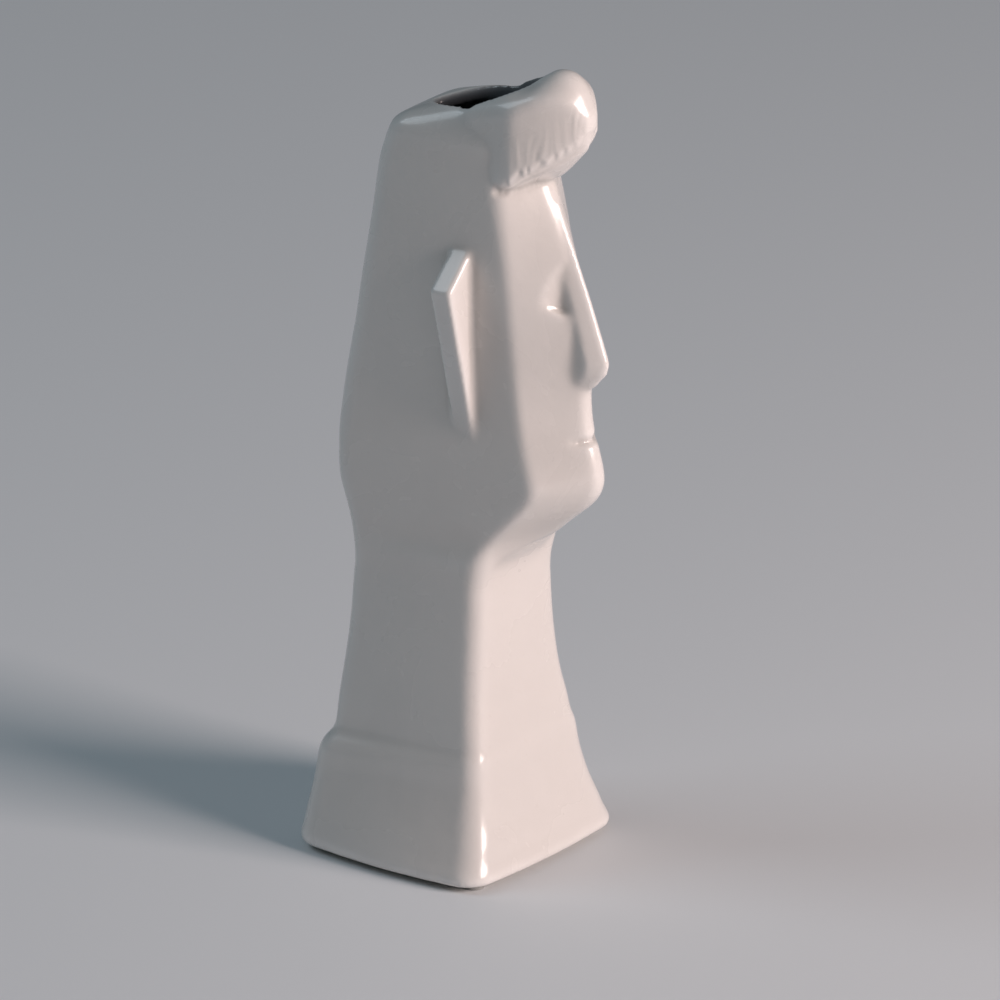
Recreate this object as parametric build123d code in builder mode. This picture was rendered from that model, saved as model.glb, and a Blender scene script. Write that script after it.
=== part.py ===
"""Face vase: a one-piece glazed ceramic head on a square foot, open at the crown, on four clear pads.

Millimetres, +Z up. The face looks along -Y and the body is symmetrical about X = 0. The forms are laid out
about the axis of the foot. The pieces are then moved along Y, so that the origin is on the surface that the
vase stands on, below the middle of the body's length.
"""
import os
from math import cos, hypot, radians, sin

from build123d import *

os.makedirs("parts", exist_ok=True)

# Driving dimensions: heights of the zones and the clay
pad_height = 2.0
foot_height = 44.0
neck_height = 74.0
head_height = 166.5
wall = 5.5

# Foot, measured at its corners; the sides bow out between them
foot_side = 43.4
foot_depth = 41.2
foot_bow = 4.0
foot_corner_radius = 11.0
ledge_tilt = 4.4
recess_depth = 1.6
foot_ring_width = 9.0

# Clear pads under the corners
pad_diameter = 8.0
pad_edge_radius = 0.7
pad_side_inset = 7.9
pad_end_inset = 5.5

# Neck at its slimmest
neck_side = 24.8
neck_rear = 30.4
neck_front = 28.0
neck_bow = 1.0
neck_corner_radius = 7.0

# Head at the jaw, its widest level, measured from the axis of the foot
head_side = 28.0
face_side = 23.5
head_rear = 35.1
head_front = 67.8
head_bow = 0.9
head_corner_radius = 8.0
face_corner_radius = 5.5
jaw_tilt = 8.0

# Crown, whose middle rises towards the front around the opening
crown_tilt = 18.0
crown_radius = 8.5
opening_length = 56.5
opening_width = 28.0
opening_centre = 19.5
opening_depth = 18.0
opening_tip_radius = 1.5

# Hair roll over the forehead
roll_side = 20.2
roll_front = 62.4
roll_back = 17.0
roll_top = 306.0
roll_bottom = 265.0

# Nose, a wedge that grows out of the forehead ridge
nose_top = 256.0
nose_base_height = 188.0
nose_tip = 70.3
nose_root = 46.8
nose_half_width = 5.4
nose_root_depth = 10.2
nose_bridge_radius = 1.6
nose_flank_share = 1.4

# Eye hollows beside the nose
eye_top_side = 3.4
eye_top_height = 238.0
eye_top_front = 52.0
eye_outer_side = 13.5
eye_outer_height = 221.1
eye_outer_front = 46.0
eye_inner_side = 3.6
eye_inner_height = 214.0
eye_inner_front = 58.2
eye_depth = 6.0
eye_reach_share = 1.9

# Mouth of the face: a short groove above a full lower lip
lip_line_height = 167.6
lip_line_front = 60.0
lip_line_rise = 7.5
lip_line_depth = 7.5
lip_line_half_width = 10.0
lip_line_end_front = 54.0

# Ears, flat fins that taper downwards
ear_reach = 35.0
ear_top_side = 20.7
ear_bottom_side = 21.8
ear_root = 14.0
ear_front = 25.4
ear_lean = 1.5
ear_thickness = 9.2
ear_top = 239.5
ear_shoulder = 226.0
ear_bottom = 165.0
ear_edge_radius = 1.4

# Places that follow from the sizes above
neck_start = pad_height + foot_height
head_start = neck_start + neck_height
crown_height = head_start + head_height
overrun = 1.0

# Body levels. Each row: share of the zone's height, then shares of the zone's rear half-width, front
# half-width, rear depth, front corner depth and front ridge depth, then the share of the zone's tilt.
foot_level_shares = [
    (0.000, 0.970, 0.970, 0.970, 0.970, 1.040, 0.0),
    (0.036, 1.000, 1.000, 0.998, 1.005, 1.085, 0.0),
    (0.165, 0.982, 0.950, 0.989, 0.975, 1.048, 0.1),
    (0.250, 0.962, 0.912, 0.982, 0.952, 1.018, 0.3),
    (0.410, 0.920, 0.848, 0.968, 0.903, 0.962, 0.5),
    (0.610, 0.866, 0.786, 0.950, 0.855, 0.904, 0.8),
    (0.760, 0.834, 0.754, 0.944, 0.828, 0.871, 1.0),
    (0.880, 0.812, 0.740, 0.926, 0.812, 0.857, 1.0),
    (0.950, 0.778, 0.724, 0.890, 0.797, 0.849, 1.0),
    (1.000, 0.738, 0.708, 0.848, 0.780, 0.840, 1.0),
]
neck_level_shares = [
    (0.036, 1.250, 1.222, 1.122, 1.132, 1.221, 1.0),
    (0.108, 1.226, 1.194, 1.105, 1.110, 1.193, 0.7),
    (0.230, 1.170, 1.129, 1.082, 1.068, 1.136, 0.2),
    (0.419, 1.090, 1.048, 1.040, 1.025, 1.082, 0.0),
    (0.608, 1.030, 0.992, 1.013, 1.007, 1.060, 0.0),
    (0.757, 1.000, 0.968, 1.000, 1.000, 1.054, 0.1),
    (0.872, 1.006, 0.968, 0.974, 1.007, 1.082, 0.5),
    (0.960, 1.035, 0.980, 0.967, 1.054, 1.214, 1.0),
]
jaw_level_shares = [
    (0.018, 0.939, 0.945, 0.849, 0.462, 0.678, 0.90),
    (0.051, 0.960, 0.928, 0.862, 0.543, 0.804, 1.00),
    (0.084, 0.982, 0.915, 0.892, 0.631, 0.922, 1.00),
    (0.117, 0.994, 0.877, 0.938, 0.698, 0.985, 0.94),
    (0.150, 1.000, 0.872, 0.986, 0.729, 1.002, 0.81),
    (0.192, 1.000, 0.864, 1.000, 0.718, 0.996, 0.62),
    (0.240, 0.996, 0.834, 1.000, 0.683, 0.975, 0.44),
    (0.299, 0.982, 0.817, 0.973, 0.652, 0.940, 0.25),
    (0.383, 0.964, 0.809, 0.915, 0.621, 0.925, 0.12),
]
brow_level_shares = [
    (0.491, 0.936, 0.821, 0.832, 0.595, 0.940, 0.0),
    (0.599, 0.900, 0.834, 0.764, 0.572, 0.892, 0.0),
    (0.719, 0.857, 0.838, 0.678, 0.540, 0.796, 0.0),
    (0.802, 0.821, 0.825, 0.632, 0.508, 0.710, 0.0),
    (0.868, 0.793, 0.798, 0.593, 0.480, 0.642, 0.0),
    (0.916, 0.771, 0.798, 0.531, 0.466, 0.606, 0.0),
    (0.952, 0.750, 0.806, 0.466, 0.462, 0.600, 0.03),
]
# Crown levels: shares of the crown radius below the crown and drawn in from the head, share of its tilt.
crown_level_shares = [
    (0.62, 0.14, 0.25),
    (0.30, 0.36, 0.58),
    (0.09, 0.65, 0.85),
    (0.00, 1.00, 1.00),
]
flat_ridge_share = 0.55
face_ridge_share = 0.20
inner_radius_share = 0.5

# Hair roll sections, from inside the crown to the front. Each row: share of the roll's depth, of its
# half-width, then of its height at the edge of the underside, its middle, the eaves and the ridge.
roll_section_shares = [
    (0.000, 0.890, -0.060, -0.100, 0.573, 0.695),
    (0.110, 0.903, -0.060, -0.100, 0.688, 0.780),
    (0.220, 0.915, -0.060, -0.100, 0.722, 0.839),
    (0.308, 0.928, -0.055, -0.095, 0.741, 0.893),
    (0.408, 0.945, -0.040, -0.080, 0.756, 0.937),
    (0.549, 0.865, 0.075, -0.040, 0.785, 1.010),
    (0.656, 0.735, 0.160, 0.000, 0.817, 1.073),
    (0.767, 0.580, 0.240, 0.120, 0.830, 1.071),
    (0.863, 0.420, 0.325, 0.240, 0.805, 0.981),
    (0.941, 0.265, 0.395, 0.355, 0.715, 0.830),
    (0.987, 0.125, 0.465, 0.440, 0.640, 0.705),
]
roll_edge_share = 0.15
roll_keel_share = 0.50
roll_eaves_share = 0.42
roll_ridge_share = 0.75

# Nose levels from the forehead down: shares of the nose's height, of its half-width and of its reach.
nose_level_shares = [
    (1.000, 0.12, 0.000),
    (0.750, 0.74, 0.330),
    (0.470, 0.86, 0.668),
    (0.240, 0.96, 0.922),
    (0.165, 1.00, 1.000),
    (0.100, 1.00, 0.963),
    (0.000, 0.90, 0.705),
]


def tilted(height, angle):
    """Plane at a height on the axis that rises towards the face by an angle."""
    lean = radians(angle)
    return Plane(origin=(0, 0, height), x_dir=(1, 0, 0), z_dir=(0, sin(lean), cos(lean)))


def blend(first, last, share):
    """Value between two sizes."""
    return first + (last - first) * share


def bow_radius(half_length, rise, share):
    """Radius that rounds the middle of a side over a share of each half."""
    return share * half_length * hypot(half_length, rise) / rise


def zone_levels(rows, start, height, tilt, sides, depths, bows, radii, ridge_share):
    """Levels of one zone in millimetres, from its table of shares."""
    found = []
    for rise, rear_side, front_side, rear, corner, ridge, lean in rows:
        found.append(
            {
                "height": start + rise * height,
                "tilt": lean * tilt,
                "rear_side": rear_side * sides[0],
                "front_side": front_side * sides[1],
                "rear": rear * depths[0],
                "corner": corner * depths[1],
                "ridge": ridge * depths[1],
                "bow": blend(bows[0], bows[1], rise),
                "rear_radius": blend(radii[0], radii[1], rise),
                "front_radius": blend(radii[0], radii[2], rise),
                "ridge_share": ridge_share,
            }
        )
    return found


def outline(level, inset=0.0):
    """Corner points and radii of one level: a bowed square with a ridge at the middle of its front."""
    stretch = 1 / cos(radians(level["tilt"]))
    rear = (level["rear"] - inset) * stretch
    corner = -(level["corner"] - inset) * stretch
    ridge = -(level["ridge"] - inset) * stretch
    rear_side = level["rear_side"] - inset
    front_side = level["front_side"] - inset
    bow = level["bow"]
    middle = (rear + corner) / 2
    waist = (rear_side + front_side) / 2 + bow
    points = [
        (0, rear + bow),
        (-rear_side, rear),
        (-waist, middle),
        (-front_side, corner),
        (0, ridge),
        (front_side, corner),
        (waist, middle),
        (rear_side, rear),
    ]
    tighten = 1 - inner_radius_share * min(inset / wall, 1)
    side_radius = bow_radius((rear - corner) / 2, bow, flat_ridge_share)
    front_radius = level["front_radius"] * tighten
    rear_radius = level["rear_radius"] * tighten
    radii = [
        bow_radius(rear_side, bow, flat_ridge_share),
        rear_radius,
        side_radius,
        front_radius,
        bow_radius(front_side, corner - ridge, level["ridge_share"]),
        front_radius,
        side_radius,
        rear_radius,
    ]
    return points, radii


def roll_sections(inset):
    """Reach, half-width and heights of each section of the hair roll, drawn in by an inset."""
    depth = roll_front - roll_back - inset
    height = roll_top - roll_bottom
    found = []
    for forward, side, edge, keel, eaves, ridge in roll_section_shares:
        found.append(
            (
                roll_back + forward * depth,
                side * (roll_side - inset),
                roll_bottom + edge * height + inset,
                roll_bottom + keel * height + inset,
                roll_bottom + eaves * height - inset,
                roll_bottom + ridge * height - inset,
            )
        )
    return found


def roll_section(reach, half, edge, keel, eaves, ridge):
    """Section of the hair roll on its own upright plane: a pitched top over upright sides and a keel."""
    points = [(-half, edge), (0, keel), (half, edge), (half, eaves), (0, ridge), (-half, eaves)]
    edge_radius = half * roll_edge_share
    keel_radius = half * roll_keel_share
    eaves_radius = half * roll_eaves_share
    ridge_radius = half * roll_ridge_share
    rounding = [edge_radius, keel_radius, edge_radius, eaves_radius, ridge_radius, eaves_radius]
    with BuildSketch(Plane.XZ.offset(reach)) as section:
        with BuildLine():
            FilletPolyline(*points, radius=rounding, close=True)
        make_face()
    return section.sketch


radii = (foot_corner_radius, neck_corner_radius, neck_corner_radius)
foot = zone_levels(
    foot_level_shares, pad_height, foot_height, ledge_tilt, (foot_side, foot_side), (foot_depth, foot_depth),
    (foot_bow, neck_bow), radii, flat_ridge_share,
)
radii = (neck_corner_radius, neck_corner_radius, neck_corner_radius)
neck = zone_levels(
    neck_level_shares, neck_start, neck_height, ledge_tilt, (neck_side, neck_side), (neck_rear, neck_front),
    (neck_bow, neck_bow), radii, flat_ridge_share,
)
radii = (neck_corner_radius, head_corner_radius, face_corner_radius)
jaw = zone_levels(
    jaw_level_shares, head_start, head_height, jaw_tilt, (head_side, face_side), (head_rear, head_front),
    (head_bow, head_bow), radii, face_ridge_share,
)
radii = (head_corner_radius, head_corner_radius, head_corner_radius)
brow = zone_levels(
    brow_level_shares, head_start, head_height, crown_tilt, (head_side, face_side), (head_rear, head_front),
    (head_bow, head_bow), radii, face_ridge_share,
)
body_levels = foot + neck + jaw + brow
shoulder = brow[-1]

inner_levels = body_levels[2:-1]


def level_face(level, height, tilt, inset=0.0):
    """Face of one level of the body, drawn in by an inset."""
    points, corner_radii = outline(level, inset)
    with BuildSketch(tilted(height, tilt)) as section:
        with BuildLine():
            FilletPolyline(*points, radius=corner_radii, close=True)
        make_face()
    return section.sketch


with BuildPart() as roll:
    loft(sections=[roll_section(*row) for row in roll_sections(0)])

with BuildPart() as roll_hollow:
    loft(sections=[roll_section(*row) for row in roll_sections(wall)[:-3]])

with BuildPart() as nose:
    for rise, width, reach in nose_level_shares:
        half = width * nose_half_width
        bridge_radius = width * nose_bridge_radius
        tip = blend(nose_root, nose_tip, reach)
        back = nose_root - nose_root_depth
        with BuildSketch(Plane.XY.offset(blend(nose_base_height, nose_top, rise))):
            with BuildLine():
                FilletPolyline(
                    (-half, -back),
                    (-half, half * nose_flank_share - tip),
                    (0, -tip),
                    (half, half * nose_flank_share - tip),
                    (half, -back),
                    radius=[0, bridge_radius, bridge_radius, bridge_radius, 0],
                    close=True,
                )
            make_face()
    loft(ruled=True)

with BuildPart() as ear:
    lean = radians(ear_lean)
    ear_plane = Plane(origin=(0, -ear_front, ear_bottom), x_dir=(1, 0, 0), z_dir=(0, -cos(lean), sin(lean)))
    with BuildSketch(ear_plane):
        with BuildLine():
            Polyline(
                (ear_root, ear_top - ear_bottom),
                (ear_top_side, ear_top - ear_bottom),
                (ear_reach, ear_shoulder - ear_bottom),
                (ear_bottom_side, 0),
                (ear_root, 0),
                close=True,
            )
        make_face()
    extrude(amount=-ear_thickness)
    fillet(ear.edges().sort_by(Axis.X)[-5:], ear_edge_radius)

eye_top_corner = Vector(eye_top_side, -eye_top_front, eye_top_height)
eye_outer_corner = Vector(eye_outer_side, -eye_outer_front, eye_outer_height)
eye_inner_corner = Vector(eye_inner_side, -eye_inner_front, eye_inner_height)
eye_normal = (eye_outer_corner - eye_inner_corner).cross(eye_top_corner - eye_inner_corner).normalized()
eye_bottom = eye_inner_corner - eye_normal * eye_depth
with BuildPart() as eye_hollow:
    eye_plane = Plane(origin=blend(eye_bottom, eye_inner_corner, eye_reach_share), z_dir=eye_normal)
    with BuildSketch(eye_plane):
        with BuildLine():
            Polyline(
                *(
                    eye_plane.to_local_coords(blend(eye_bottom, corner, eye_reach_share))
                    for corner in (eye_top_corner, eye_outer_corner, eye_inner_corner)
                ),
                close=True,
            )
        make_face()
    loft(sections=[eye_hollow.pending_faces[0], Vertex(*eye_bottom)])

with BuildPart() as lip_groove:
    with BuildSketch(Plane.YZ):
        with BuildLine():
            Polyline(
                (-lip_line_front, lip_line_height),
                (-lip_line_front - lip_line_depth, lip_line_height - overrun),
                (-lip_line_front - lip_line_depth, lip_line_height + lip_line_rise),
                close=True,
            )
        make_face()
    lip_corner = Vertex(lip_line_half_width, -lip_line_end_front, lip_line_height)
    loft(sections=[lip_groove.pending_faces[0], lip_corner])

with BuildPart() as cavity:
    sections = [level_face(level, level["height"], level["tilt"], wall) for level in inner_levels]
    sections.append(level_face(shoulder, crown_height - wall, crown_tilt, wall + crown_radius / 2))
    loft(sections=sections)

with BuildPart() as opening:
    with BuildSketch(tilted(crown_height, crown_tilt)) as lens:
        with BuildLine():
            rear_tip = (0, opening_length / 2 - opening_centre)
            front_tip = (0, -opening_length / 2 - opening_centre)
            ThreePointArc(rear_tip, (opening_width / 2, -opening_centre), front_tip)
            ThreePointArc(front_tip, (-opening_width / 2, -opening_centre), rear_tip)
        make_face()
        fillet(lens.vertices(), opening_tip_radius)
    extrude(amount=opening_depth, both=True)

with BuildPart() as vase_body:
    sections = [level_face(level, level["height"], level["tilt"]) for level in body_levels]
    for drop, draw, lean in crown_level_shares:
        height = crown_height - drop * crown_radius
        sections.append(level_face(shoulder, height, lean * crown_tilt, draw * crown_radius))
    loft(sections=sections)
    for side in (eye_hollow.part, eye_hollow.part.mirror(Plane.YZ)):
        add(side, mode=Mode.SUBTRACT)
    for piece in (nose.part, roll.part, ear.part, ear.part.mirror(Plane.YZ)):
        add(piece)
    for side in (lip_groove.part, lip_groove.part.mirror(Plane.YZ)):
        add(side, mode=Mode.SUBTRACT)
    add(cavity.part, mode=Mode.SUBTRACT)
    add(roll_hollow.part, mode=Mode.SUBTRACT)
    add(opening.part, mode=Mode.SUBTRACT)
    extrude(level_face(foot[0], pad_height, 0, foot_ring_width), amount=recess_depth, mode=Mode.SUBTRACT)
middle = vase_body.part.bounding_box().center()
vase_body.part.move(Location((0, -middle.Y, 0)))
vase_body.part.label = "vase_body"
export_step(vase_body.part, "parts/vase_body.step")

pad_side = foot[0]["rear_side"] - pad_side_inset
pad_depth = foot[0]["rear"] - pad_end_inset
for end, place in (("front", -pad_depth), ("rear", pad_depth)):
    for side, reach in (("left", -pad_side), ("right", pad_side)):
        with BuildPart() as foot_pad:
            with BuildSketch(Plane.XY):
                with Locations((reach, place - middle.Y)):
                    Circle(pad_diameter / 2)
            extrude(amount=pad_height)
            fillet(foot_pad.edges().sort_by(Axis.Z)[:1], pad_edge_radius)
        foot_pad.part.label = f"foot_pad_{end}_{side}"
        export_step(foot_pad.part, f"parts/{foot_pad.part.label}.step")
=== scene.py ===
"""Looks of the face vase: an off-white glaze over the one-piece body, and clear pads under the foot.

Metres, +Z up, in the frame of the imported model. The face looks along -Y. Forms on the head are placed by
their reach, the distance in front of the foot's axis, and by their height.
"""
from math import cos, radians, sin

import bmesh
import bpy
import numpy as np
from mathutils import Matrix, Vector


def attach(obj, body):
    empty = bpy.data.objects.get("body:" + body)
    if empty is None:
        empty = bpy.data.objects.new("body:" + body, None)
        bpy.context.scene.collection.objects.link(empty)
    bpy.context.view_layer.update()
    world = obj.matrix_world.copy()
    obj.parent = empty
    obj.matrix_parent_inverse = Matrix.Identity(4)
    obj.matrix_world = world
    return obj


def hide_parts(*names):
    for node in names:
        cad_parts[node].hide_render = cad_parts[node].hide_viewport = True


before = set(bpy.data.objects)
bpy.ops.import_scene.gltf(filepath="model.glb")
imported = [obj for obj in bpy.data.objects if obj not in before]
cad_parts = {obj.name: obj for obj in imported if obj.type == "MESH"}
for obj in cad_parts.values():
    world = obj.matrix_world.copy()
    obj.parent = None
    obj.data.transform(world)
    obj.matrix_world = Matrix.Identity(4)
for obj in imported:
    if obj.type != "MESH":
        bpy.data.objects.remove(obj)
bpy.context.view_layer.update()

MM = 0.001
AXIS_Y = 13.39 * MM

# View
VIEW_AZIMUTH = radians(-52.96)
VIEW_ELEVATION = radians(21.3)
VIEW_DISTANCE = 8.0
PICTURE_SIDE = 1000
FOCAL_PIXELS = 22056
FOOT_PIXEL = (453.6, 836.0)
SENSOR = 36.0


def aim_camera():
    """Camera at the photograph's angle, with the foot's axis on the pixel where the photograph has it."""
    back = Vector(
        (
            sin(VIEW_AZIMUTH) * cos(VIEW_ELEVATION),
            -cos(VIEW_AZIMUTH) * cos(VIEW_ELEVATION),
            sin(VIEW_ELEVATION),
        )
    )
    right = Vector((cos(VIEW_AZIMUTH), sin(VIEW_AZIMUTH), 0))
    up = back.cross(right)
    across = (FOOT_PIXEL[0] - PICTURE_SIDE / 2) / FOCAL_PIXELS * VIEW_DISTANCE
    rise = (PICTURE_SIDE / 2 - FOOT_PIXEL[1]) / FOCAL_PIXELS * VIEW_DISTANCE
    target = Vector((0, AXIS_Y, 0)) - right * across - up * rise
    data = bpy.data.cameras.new("view")
    data.sensor_width = SENSOR
    data.lens = FOCAL_PIXELS / PICTURE_SIDE * SENSOR
    data.clip_end = 5 * VIEW_DISTANCE
    camera = bpy.data.objects.new("view", data)
    turn = Matrix((right, up, back)).transposed()
    camera.matrix_world = Matrix.Translation(target + back * VIEW_DISTANCE) @ turn.to_4x4()
    bpy.context.scene.collection.objects.link(camera)
    bpy.context.scene.camera = camera


aim_camera()


# Shared work on points
def settle(obj):
    """Replaces an object's mesh by what its modifiers make of it."""
    graph = bpy.context.evaluated_depsgraph_get()
    made = bpy.data.meshes.new_from_object(obj.evaluated_get(graph))
    obj.modifiers.clear()
    obj.data = made


def points_of(obj):
    """Places of an object's points as one array."""
    places = np.empty(len(obj.data.vertices) * 3)
    obj.data.vertices.foreach_get("co", places)
    return places.reshape(-1, 3)


def normals_of(obj):
    """Outward directions at an object's points as one array."""
    directions = np.empty(len(obj.data.vertices) * 3)
    obj.data.vertices.foreach_get("normal", directions)
    return directions.reshape(-1, 3)


def put_points(obj, places):
    """Moves an object's points to new places."""
    obj.data.vertices.foreach_set("co", places.ravel())
    obj.data.update()


def store(obj, name, values):
    """Keeps a value for each point under a name that a material can read."""
    layer = obj.data.attributes.new(name, "FLOAT", "POINT")
    layer.data.foreach_set("value", values.astype(np.float32))


def ease(values, low, high):
    """Smooth step from nought at the low value to one at the high value."""
    share = np.clip((values - low) / (high - low), 0, 1)
    return share * share * (3 - 2 * share)


SOFTEN_STEP = 0.5
WEIGHT_LEVELS = 10


def soften(obj, passes, weights=None):
    """Rounds the surface over a number of passes, everywhere or by a weight for each point."""
    smooth = obj.modifiers.new("soften", "SMOOTH")
    smooth.factor = SOFTEN_STEP
    smooth.iterations = passes
    if weights is not None:
        group = obj.vertex_groups.new(name="soft")
        for level in range(1, WEIGHT_LEVELS + 1):
            share = level / WEIGHT_LEVELS
            chosen = np.nonzero(np.abs(weights - share) <= 0.5 / WEIGHT_LEVELS)[0]
            if len(chosen):
                group.add(chosen.tolist(), share, "REPLACE")
        smooth.vertex_group = group.name
    settle(obj)
    obj.vertex_groups.clear()


# Body
MERGE_WITHIN = 0.001 * MM
VOXEL = 0.85 * MM
SOFTEN_PASSES = 3
BODY_TRIANGLES = 190000


def copied_body():
    """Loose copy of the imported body, merged, evened out and softened as a thick glaze softens clay."""
    form = bmesh.new()
    form.from_mesh(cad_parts["vase_body"].data)
    bmesh.ops.remove_doubles(form, verts=form.verts, dist=MERGE_WITHIN)
    data = bpy.data.meshes.new("glazed_body")
    form.to_mesh(data)
    form.free()
    obj = bpy.data.objects.new("glazed_body", data)
    bpy.context.scene.collection.objects.link(obj)
    even = obj.modifiers.new("even", "REMESH")
    even.mode = "VOXEL"
    even.voxel_size = VOXEL
    settle(obj)
    soften(obj, SOFTEN_PASSES)
    return obj


def thin_out(obj, triangles):
    """Keeps the form with fewer faces, most of them where it bends."""
    obj.data.calc_loop_triangles()
    present = len(obj.data.loop_triangles)
    thin = obj.modifiers.new("thin", "DECIMATE")
    thin.ratio = min(1, triangles / present)
    settle(obj)


# Places that the glaze rounds more than the rest: middle, reach to each side, and passes. The middle is given
# in millimetres as half-width, reach in front of the foot's axis, and height.
SOFT_PLACES = (
    ((0, 6, 290), (30, 40, 17), 26),
    ((9, 50, 222), (11, 14, 15), 8),
    ((12, 47, 221), (4, 6, 4), 14),
    ((5, 60, 192), (7, 14, 12), 10),
    ((10, 55, 168), (5, 6, 5), 10),
)
EAR_MIDDLE = (30, 22, 204)
EAR_REACH = (12, 16, 45)
PLACE_FADE = (0.65, 1.1)
FLAT_PASSES = 12


def near_place(obj, middle, reach):
    """Weight for each point: one near a place on either side of the body, easing off to nought."""
    places = points_of(obj) / MM
    apart = np.stack(
        (
            (np.abs(places[:, 0]) - middle[0]) / reach[0],
            (AXIS_Y / MM - places[:, 1] - middle[1]) / reach[1],
            (places[:, 2] - middle[2]) / reach[2],
        )
    )
    return 1 - ease(np.linalg.norm(apart, axis=0), *PLACE_FADE)


def round_off(obj):
    """Rounds the broad faces and the soft places, and leaves the ears crisp."""
    soften(obj, FLAT_PASSES, 1 - near_place(obj, EAR_MIDDLE, EAR_REACH))
    for middle, reach, passes in SOFT_PLACES:
        soften(obj, passes, near_place(obj, middle, reach))


# Lower edge of the hair, from the side to the front: reach, half-width and height in millimetres.
HAIR_EDGE = np.array(
    [
        (27.0, 18.5, 262.5),
        (35.5, 19.1, 263.4),
        (41.9, 17.5, 268.1),
        (46.8, 14.8, 271.6),
        (51.8, 11.7, 274.8),
        (56.2, 8.5, 278.3),
        (59.7, 5.4, 281.2),
        (61.8, 2.5, 284.1),
        (62.4, 0.0, 284.6),
    ]
)

# Where the hair's face lies: how far the surface may turn upwards, and the limits in width and reach.
FACE_TURN = (0.35, 0.75)
TOP_TURN = (0.55, 0.85)
FACE_SIDE = (-4.5, -2.0)
FACE_REACH = (31.0, 34.0)

# Ragged ends of the locks, in millimetres.
LOCK_SEED = 7
LOCK_WIDTH = 4.2
LOCK_STEP = 1.0
LOCK_START = 0.9
LOCK_RISE = 2.9
LOCK_JITTER = 0.33
LOCK_SIZES = (0.3, 1.0)
LOCK_LEANS = (0.62, 0.88)
SPARE_LOCKS = 3
STEP_EDGE = 0.45
STEP_SHARE = 0.6
STEP_DEEPENS = 3
STEP_FADE = (-3.5, -1.5)

# Strands above them: depth and spacing in millimetres, and how they wander and come in patches.
STRAND_DEPTH = 0.12
STRAND_PITCH = 1.9
BROAD_PITCH = 4.3
BROAD_SHARE = 0.9
BROAD_DRIFT = 0.6
BROAD_START = 0.6
WANDER = 1.6
WANDER_BY_HEIGHT = 0.11
WANDER_BY_RUN = 0.37
PATCH_LEAST = 0.35
PATCH_RUN = 0.83
PATCH_START = 2.0
PATCH_BROAD_RUN = 0.31
PATCH_BROAD_HEIGHT = 0.21
STRAND_START = (0, -1.5)
STRAND_END = (6, 18)

LEVEL_LEAST = 0.2
HAIR_PASSES = 3
HAIR_SOFT_START = (-4.0, -1.0)
HAIR_SOFT_END = (7, 12)


def hair_run(reach, side):
    """Run along the hair's edge from one side round the front, the whole run, and the edge's own place."""
    edge_reach, edge_side, edge_height = HAIR_EDGE.T
    steps = np.hypot(np.diff(edge_reach), np.diff(edge_side))
    run_at_edge = np.concatenate(([0], np.cumsum(steps)))
    whole = 2 * run_at_edge[-1]
    run = np.interp(reach, edge_reach, run_at_edge)
    along = np.where(side < 0, run, whole - run)
    return along, whole, np.interp(reach, edge_reach, edge_side), np.interp(reach, edge_reach, edge_height)


def lock_ends(along, whole):
    """Height of the ragged lock ends over the hair's lower edge, in millimetres."""
    draw = np.random.default_rng(LOCK_SEED)
    count = int(whole / LOCK_WIDTH) + SPARE_LOCKS
    knots = (np.arange(count) + draw.uniform(-LOCK_JITTER, LOCK_JITTER, count)) * LOCK_WIDTH - LOCK_WIDTH
    size = draw.uniform(*LOCK_SIZES, count)
    lean = draw.uniform(*LOCK_LEANS, count)
    lock = np.clip(np.searchsorted(knots, along) - 1, 0, count - 2)
    within = (along - knots[lock]) / (knots[lock + 1] - knots[lock])
    saw = np.minimum(within / lean[lock], (1 - within) / (1 - lean[lock]))
    return LOCK_START + LOCK_RISE * size[lock] * np.clip(saw, 0, 1)


def swell(turn):
    """Even wave between nought and one."""
    return 0.5 + 0.5 * np.sin(turn)


def strands(along, above):
    """Depth of the strands as a share, at a run along the hair's edge and a height above it."""
    wander = WANDER * np.sin(above * WANDER_BY_HEIGHT + along * WANDER_BY_RUN)
    fine = np.sin((along + wander) * 2 * np.pi / STRAND_PITCH)
    broad = np.sin((along + BROAD_DRIFT * wander) * 2 * np.pi / BROAD_PITCH + BROAD_START)
    patch = swell(along * PATCH_RUN + PATCH_START)
    patch = patch * swell(along * PATCH_BROAD_RUN + above * PATCH_BROAD_HEIGHT)
    return (fine + BROAD_SHARE * broad) * (PATCH_LEAST + (1 - PATCH_LEAST) * patch)


def comb_hair(obj):
    """Cuts the ragged ends of the locks into the hair's lower edge, and the strands into its face."""
    places = points_of(obj)
    outward = normals_of(obj)
    reach = (AXIS_Y - places[:, 1]) / MM
    side = places[:, 0] / MM
    along, whole, edge_side, edge_height = hair_run(reach, side)
    above = places[:, 2] / MM - edge_height
    face = ease(np.abs(outward[:, 0]) - outward[:, 1], *FACE_TURN) * (1 - ease(outward[:, 2], *TOP_TURN))
    on_face = face * ease(np.abs(side) - edge_side, *FACE_SIDE) * ease(reach, *FACE_REACH)
    under = lock_ends(along, whole) - above
    deepening = STEP_SHARE + (1 - STEP_SHARE) * ease(under, 0, STEP_DEEPENS)
    step = ease(under, -STEP_EDGE, STEP_EDGE) * deepening * ease(above, *STEP_FADE)
    fade = ease(under, *STRAND_START) * (1 - ease(above, *STRAND_END))
    inward = on_face * (LOCK_STEP * step + STRAND_DEPTH * strands(along, above) * fade)
    flat = outward.copy()
    flat[:, 2] = 0
    flat /= np.maximum(np.linalg.norm(flat, axis=1, keepdims=True), LEVEL_LEAST)
    put_points(obj, places - flat * (inward * MM)[:, None])
    soften(obj, HAIR_PASSES, on_face * ease(above, *HAIR_SOFT_START) * (1 - ease(above, *HAIR_SOFT_END)))


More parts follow.
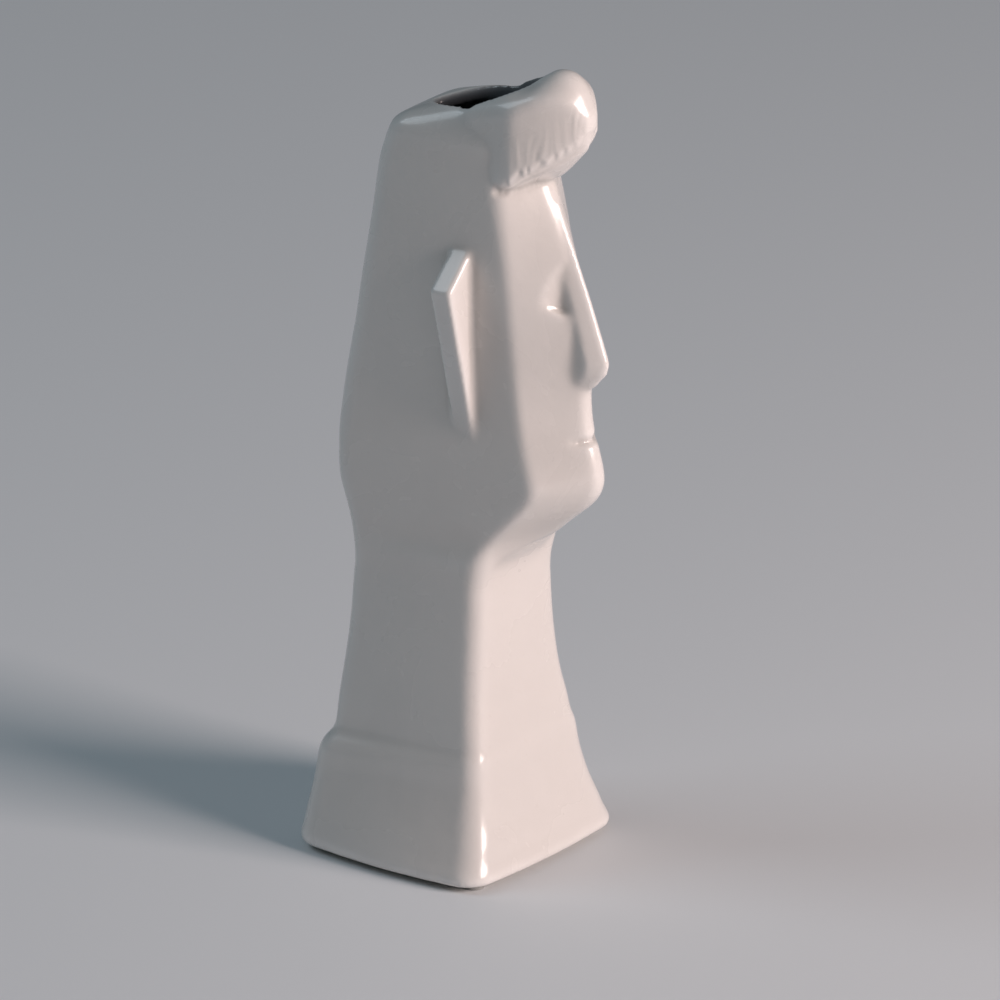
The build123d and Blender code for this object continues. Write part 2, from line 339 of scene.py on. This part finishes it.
# How the surface bends at each point, and the painted shade inside the hollow
BEND_PASSES = 16
SHORTEST_SQUARED = 1e-12
BEND_MIDDLE = 0.5

# Hollow's mouth in millimetres: reach of its middle, rim height over the foot's axis, and rise per reach.
MOUTH_REACH = 19.5
RIM_HEIGHT = 287.4
RIM_SLOPE = 0.352
# Bounds of the painted shade inside the hollow.
INSIDE_HALF_WIDTH = 17
INSIDE_HALF_LENGTH = 34
INSIDE_BOTTOM = 255
INSIDE_DEPTH = (-1.0, 3.5)
INSIDE_TURN = (-0.1, 0.3)


def mark_edges(obj):
    """Stores how sharply the glaze bends at each point: over one half on edges, under it in creases."""
    places = points_of(obj)
    outward = normals_of(obj)
    pairs = np.empty(len(obj.data.edges) * 2, dtype=np.int64)
    obj.data.edges.foreach_get("vertices", pairs)
    first, last = pairs.reshape(-1, 2).T
    apart = places[last] - places[first]
    length = np.maximum(np.einsum("ij,ij->i", apart, apart), SHORTEST_SQUARED)
    bend = np.einsum("ij,ij->i", outward[last] - outward[first], apart) / length
    count = len(places)
    near = np.maximum(np.bincount(first, minlength=count) + np.bincount(last, minlength=count), 1)
    value = (np.bincount(first, bend, count) + np.bincount(last, bend, count)) / near
    for _ in range(BEND_PASSES):
        spread = np.bincount(first, value[last], count) + np.bincount(last, value[first], count)
        value = 0.5 * value + 0.5 * spread / near
    store(obj, "glaze_bend", BEND_MIDDLE + np.clip(value * MM, -BEND_MIDDLE, BEND_MIDDLE))


def mark_painted_inside_shade(obj):
    """Stores the share of painted shade at each point inside the hollow, from nought on the rim to one below
    it.
    """
    places = points_of(obj) / MM
    outward = normals_of(obj)
    reach = AXIS_Y / MM - places[:, 1]
    forward = reach - MOUTH_REACH
    from_middle = np.hypot(places[:, 0], forward) + 1e-6
    facing = -(outward[:, 0] * places[:, 0] - outward[:, 1] * forward) / from_middle
    rim = RIM_HEIGHT + RIM_SLOPE * reach
    below = ease(rim - places[:, 2], *INSIDE_DEPTH)
    narrow = np.abs(places[:, 0]) < INSIDE_HALF_WIDTH
    short = np.abs(forward) < INSIDE_HALF_LENGTH
    value = ease(facing, *INSIDE_TURN) * below * narrow * short * (places[:, 2] > INSIDE_BOTTOM)
    store(obj, "painted_inside_shade", value)


glazed_body = copied_body()
round_off(glazed_body)
comb_hair(glazed_body)
thin_out(glazed_body, BODY_TRIANGLES)
mark_edges(glazed_body)
mark_painted_inside_shade(glazed_body)
for face in glazed_body.data.polygons:
    face.use_smooth = True

# Materials. Cloud, speck, ripple and grain sizes are counts to the metre.
CLOUD_DETAIL = 4.0
CLOUD_ROUGHNESS = 0.55
CLOUD_DISTORTION = 0.4
SPECK_DETAIL = 2.0
SPECK_ROUGHNESS = 0.6
GLASS_IOR = 1.5


def node(tree, kind, **values):
    """Adds a node to a tree and sets its own properties and the values of its sockets."""
    made = tree.nodes.new(kind)
    for name, value in values.items():
        if hasattr(made, name):
            setattr(made, name, value)
        else:
            made.inputs[name.replace("_", " ")].default_value = value
    return made


def mottle_group():
    """Slow clouds and fine specks, both by place on the piece."""
    tree = bpy.data.node_groups.new("mottle", "ShaderNodeTree")
    face = tree.interface
    face.new_socket("Place", in_out="INPUT", socket_type="NodeSocketVector")
    for name in ("Cloud Size", "Speck Size"):
        face.new_socket(name, in_out="INPUT", socket_type="NodeSocketFloat")
    for name in ("Cloud", "Speck"):
        face.new_socket(name, in_out="OUTPUT", socket_type="NodeSocketFloat")
    start = node(tree, "NodeGroupInput")
    end = node(tree, "NodeGroupOutput")
    cloud = node(
        tree,
        "ShaderNodeTexNoise",
        Detail=CLOUD_DETAIL,
        Roughness=CLOUD_ROUGHNESS,
        Distortion=CLOUD_DISTORTION,
    )
    speck = node(tree, "ShaderNodeTexNoise", Detail=SPECK_DETAIL, Roughness=SPECK_ROUGHNESS)
    join = tree.links.new
    for name, noise in (("Cloud", cloud), ("Speck", speck)):
        join(start.outputs["Place"], noise.inputs["Vector"])
        join(start.outputs[name + " Size"], noise.inputs["Scale"])
        join(noise.outputs["Fac"], end.inputs[name])
    return tree


mottle = mottle_group()


def ramp(tree, *stops):
    """Colour ramp with the given places and colours."""
    made = node(tree, "ShaderNodeValToRGB")
    spots = made.color_ramp.elements
    while len(spots) < len(stops):
        spots.new(0.5)
    for spot, (place, colour) in zip(spots, stops):
        spot.position = place
        spot.color = (*colour, 1)
    return made


def new_material(name):
    """Empty material with its node tree, the tree's join call and its shader."""
    made = bpy.data.materials.new(name)
    made.use_nodes = True
    tree = made.node_tree
    return made, tree, tree.links.new, tree.nodes["Principled BSDF"]


def mottled(tree, cloud_size, speck_size):
    """Place on the piece, and the clouds and specks there."""
    place = node(tree, "ShaderNodeTexCoord")
    clouds = node(tree, "ShaderNodeGroup", node_tree=mottle)
    clouds.inputs["Cloud Size"].default_value = cloud_size
    clouds.inputs["Speck Size"].default_value = speck_size
    tree.links.new(place.outputs["Object"], clouds.inputs["Place"])
    return place, clouds


def spread(tree, source, low, high):
    """Value of a source spread between a low and a high value."""
    made = node(tree, "ShaderNodeMapRange")
    made.inputs["To Min"].default_value = low
    made.inputs["To Max"].default_value = high
    tree.links.new(source, made.inputs["Value"])
    return made


def cover(tree, share, below, colour):
    """Colour laid over another by a share."""
    made = node(tree, "ShaderNodeMix", data_type="RGBA")
    made.inputs[7].default_value = (*colour, 1)
    tree.links.new(share, made.inputs[0])
    tree.links.new(below, made.inputs[6])
    return made


# Glaze
GLAZE = (0.69, 0.66, 0.635)
GLAZE_ON_EDGES = (0.78, 0.755, 0.735)
GLAZE_IN_CREASES = (0.58, 0.555, 0.53)
# Painted shade: near-black grey laid over the glaze inside the hollow, where it is in shadow.
PAINTED_INSIDE_SHADE = (0.13, 0.135, 0.145)
BISQUE = (0.62, 0.55, 0.47)
SPECK = (0.93, 0.92, 0.90)
CLEAR_OF_SPECKS = (1, 1, 1)
BEND_IN_CREASES = 0.38
BEND_ON_EDGES = 0.66
TONE_DRIFT = 0.10
SPECK_END = 0.36
GLAZE_CLOUDS = 22.0
GLAZE_SPECKS = 520.0
WIPED_BELOW = 2.3 * MM
GLAZED_ABOVE = 2.9 * MM
GLAZE_ROUGHNESS = (0.20, 0.34)
BISQUE_ROUGHNESS = 0.85
COAT_SHARE = 0.5
COAT_ROUGHNESS = 0.12
RIPPLE_SHARE = 0.22
RIPPLE_DEPTH = 0.35 * MM
RIPPLE_SIZE = 170.0
RIPPLE_DETAIL = 2.0
RIPPLE_ROUGHNESS = 0.5


def glaze_material():
    """Glossy off-white glaze: paler on sharp edges and darker in creases, wiped off the foot ring, and with
    painted shade inside the hollow.
    """
    made, tree, join, shader = new_material("off_white_glaze")
    place, clouds = mottled(tree, GLAZE_CLOUDS, GLAZE_SPECKS)
    bend = node(tree, "ShaderNodeAttribute", attribute_name="glaze_bend")
    # Tone follows how sharply the surface bends: paler on sharp edges, darker in creases.
    tone = ramp(tree, (BEND_IN_CREASES, GLAZE_IN_CREASES), (BEND_MIDDLE, GLAZE), (BEND_ON_EDGES, GLAZE_ON_EDGES))
    uneven = node(tree, "ShaderNodeMath", operation="MULTIPLY_ADD")
    uneven.inputs[1].default_value = TONE_DRIFT
    join(clouds.outputs["Cloud"], uneven.inputs[0])
    shift = node(tree, "ShaderNodeMath", operation="SUBTRACT")
    shift.inputs[1].default_value = TONE_DRIFT / 2
    join(bend.outputs["Fac"], shift.inputs[0])
    join(shift.outputs[0], uneven.inputs[2])
    join(uneven.outputs[0], tone.inputs[0])
    speck = ramp(tree, (0.0, SPECK), (SPECK_END, CLEAR_OF_SPECKS))
    join(clouds.outputs["Speck"], speck.inputs[0])
    specked = node(tree, "ShaderNodeMix", data_type="RGBA", blend_type="MULTIPLY")
    specked.inputs[0].default_value = 1
    join(tone.outputs["Color"], specked.inputs[6])
    join(speck.outputs["Color"], specked.inputs[7])
    where = node(tree, "ShaderNodeSeparateXYZ")
    join(place.outputs["Object"], where.inputs[0])
    wiped = node(tree, "ShaderNodeMapRange")
    wiped.inputs["From Min"].default_value = GLAZED_ABOVE
    wiped.inputs["From Max"].default_value = WIPED_BELOW
    join(where.outputs["Z"], wiped.inputs["Value"])
    bare = cover(tree, wiped.outputs[0], specked.outputs[2], BISQUE)
    # Painted shade: the inside of the hollow is darkened towards a near-black grey below the rim.
    inside_shade = node(tree, "ShaderNodeAttribute", attribute_name="painted_inside_shade")
    shaded = cover(tree, inside_shade.outputs["Fac"], bare.outputs[2], PAINTED_INSIDE_SHADE)
    join(shaded.outputs[2], shader.inputs["Base Color"])
    gloss = spread(tree, clouds.outputs["Cloud"], *GLAZE_ROUGHNESS)
    rough = node(tree, "ShaderNodeMix", data_type="FLOAT")
    rough.inputs[3].default_value = BISQUE_ROUGHNESS
    join(wiped.outputs[0], rough.inputs[0])
    join(gloss.outputs[0], rough.inputs[2])
    join(rough.outputs[0], shader.inputs["Roughness"])
    coat = spread(tree, wiped.outputs[0], COAT_SHARE, 0)
    join(coat.outputs[0], shader.inputs["Coat Weight"])
    shader.inputs["Coat Roughness"].default_value = COAT_ROUGHNESS
    shader.inputs["Coat IOR"].default_value = GLASS_IOR
    shader.inputs["IOR"].default_value = GLASS_IOR
    ripple = node(tree, "ShaderNodeBump", Strength=RIPPLE_SHARE)
    ripple.inputs["Distance"].default_value = RIPPLE_DEPTH
    wave = node(
        tree, "ShaderNodeTexNoise", Scale=RIPPLE_SIZE, Detail=RIPPLE_DETAIL, Roughness=RIPPLE_ROUGHNESS
    )
    join(place.outputs["Object"], wave.inputs["Vector"])
    join(wave.outputs["Fac"], ripple.inputs["Height"])
    join(ripple.outputs[0], shader.inputs["Normal"])
    return made


# Pads
PAD_DULL = (0.62, 0.62, 0.60)
PAD_PALE = (0.78, 0.78, 0.76)
PAD_TONE_START = 0.3
PAD_TONE_END = 0.7
PAD_CLOUDS = 240.0
PAD_SPECKS = 1400.0
PAD_ROUGHNESS = (0.18, 0.42)
PAD_GRAIN_SHARE = 0.15
PAD_GRAIN_DEPTH = 0.1 * MM
PAD_CLEARNESS = 0.55
PAD_IOR = 1.46


def pad_material():
    """Clear soft plastic, a little cloudy, with a fine grain."""
    made, tree, join, shader = new_material("clear_pad")
    _, clouds = mottled(tree, PAD_CLOUDS, PAD_SPECKS)
    tone = ramp(tree, (PAD_TONE_START, PAD_DULL), (PAD_TONE_END, PAD_PALE))
    join(clouds.outputs["Cloud"], tone.inputs[0])
    join(tone.outputs["Color"], shader.inputs["Base Color"])
    dull = spread(tree, clouds.outputs["Speck"], *PAD_ROUGHNESS)
    join(dull.outputs[0], shader.inputs["Roughness"])
    bump = node(tree, "ShaderNodeBump", Strength=PAD_GRAIN_SHARE)
    bump.inputs["Distance"].default_value = PAD_GRAIN_DEPTH
    join(clouds.outputs["Speck"], bump.inputs["Height"])
    join(bump.outputs[0], shader.inputs["Normal"])
    shader.inputs["Transmission Weight"].default_value = PAD_CLEARNESS
    shader.inputs["IOR"].default_value = PAD_IOR
    return made


glazed_body.data.materials.clear()
glazed_body.data.materials.append(glaze_material())
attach(glazed_body, "root")
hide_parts("vase_body")

clear = pad_material()
for name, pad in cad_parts.items():
    if name.startswith("foot_pad"):
        for slot in pad.material_slots:
            slot.material = clear

# Stage
FLOOR_HALF_SIDE = 12
FLOOR_DARK = (0.71, 0.745, 0.775)
FLOOR_PALE = (0.75, 0.785, 0.815)
FLOOR_TONE_START = 0.3
FLOOR_TONE_END = 0.7
FLOOR_GRAIN_SIZE = 6.0
FLOOR_GRAIN_DETAIL = 3.0
FLOOR_ROUGHNESS = 0.8
LAMP_AIM = (0, 0, 0.15)
SKY_COLOUR = (0.74, 0.90, 1.0)
SKY_STRENGTH = 0.12


def stage_material():
    """Pale matt floor."""
    made, tree, join, shader = new_material("pale_floor")
    grain = node(tree, "ShaderNodeTexNoise", Scale=FLOOR_GRAIN_SIZE, Detail=FLOOR_GRAIN_DETAIL)
    tone = ramp(tree, (FLOOR_TONE_START, FLOOR_DARK), (FLOOR_TONE_END, FLOOR_PALE))
    join(grain.outputs["Fac"], tone.inputs[0])
    join(tone.outputs["Color"], shader.inputs["Base Color"])
    shader.inputs["Roughness"].default_value = FLOOR_ROUGHNESS
    return made


def lay_floor():
    """Wide floor under the vase."""
    form = bmesh.new()
    bmesh.ops.create_grid(form, x_segments=1, y_segments=1, size=FLOOR_HALF_SIDE)
    data = bpy.data.meshes.new("floor")
    form.to_mesh(data)
    form.free()
    data.materials.append(stage_material())
    floor = bpy.data.objects.new("floor", data)
    bpy.context.scene.collection.objects.link(floor)


def hang_lamp(name, azimuth, elevation, distance, side, power, colour):
    """Square soft lamp that shines at the middle of the vase."""
    data = bpy.data.lights.new(name, "AREA")
    data.size = side
    data.energy = power
    data.color = colour
    lamp = bpy.data.objects.new(name, data)
    turn = radians(azimuth)
    tilt = radians(elevation)
    back = Vector((sin(turn) * cos(tilt), -cos(turn) * cos(tilt), sin(tilt)))
    lamp.location = Vector(LAMP_AIM) + back * distance
    lamp.rotation_euler = back.to_track_quat("Z", "Y").to_euler()
    bpy.context.scene.collection.objects.link(lamp)


lay_floor()
hang_lamp("key", azimuth=8, elevation=20, distance=2.4, side=1.0, power=60, colour=(1.0, 0.83, 0.78))
hang_lamp("rim", azimuth=215, elevation=45, distance=2.4, side=1.2, power=10, colour=(0.80, 0.92, 1.0))
world = bpy.data.worlds.new("studio")
world.use_nodes = True
world.node_tree.nodes["Background"].inputs["Color"].default_value = (*SKY_COLOUR, 1)
world.node_tree.nodes["Background"].inputs["Strength"].default_value = SKY_STRENGTH
bpy.context.scene.world = world
bpy.context.scene.view_settings.view_transform = "Standard"
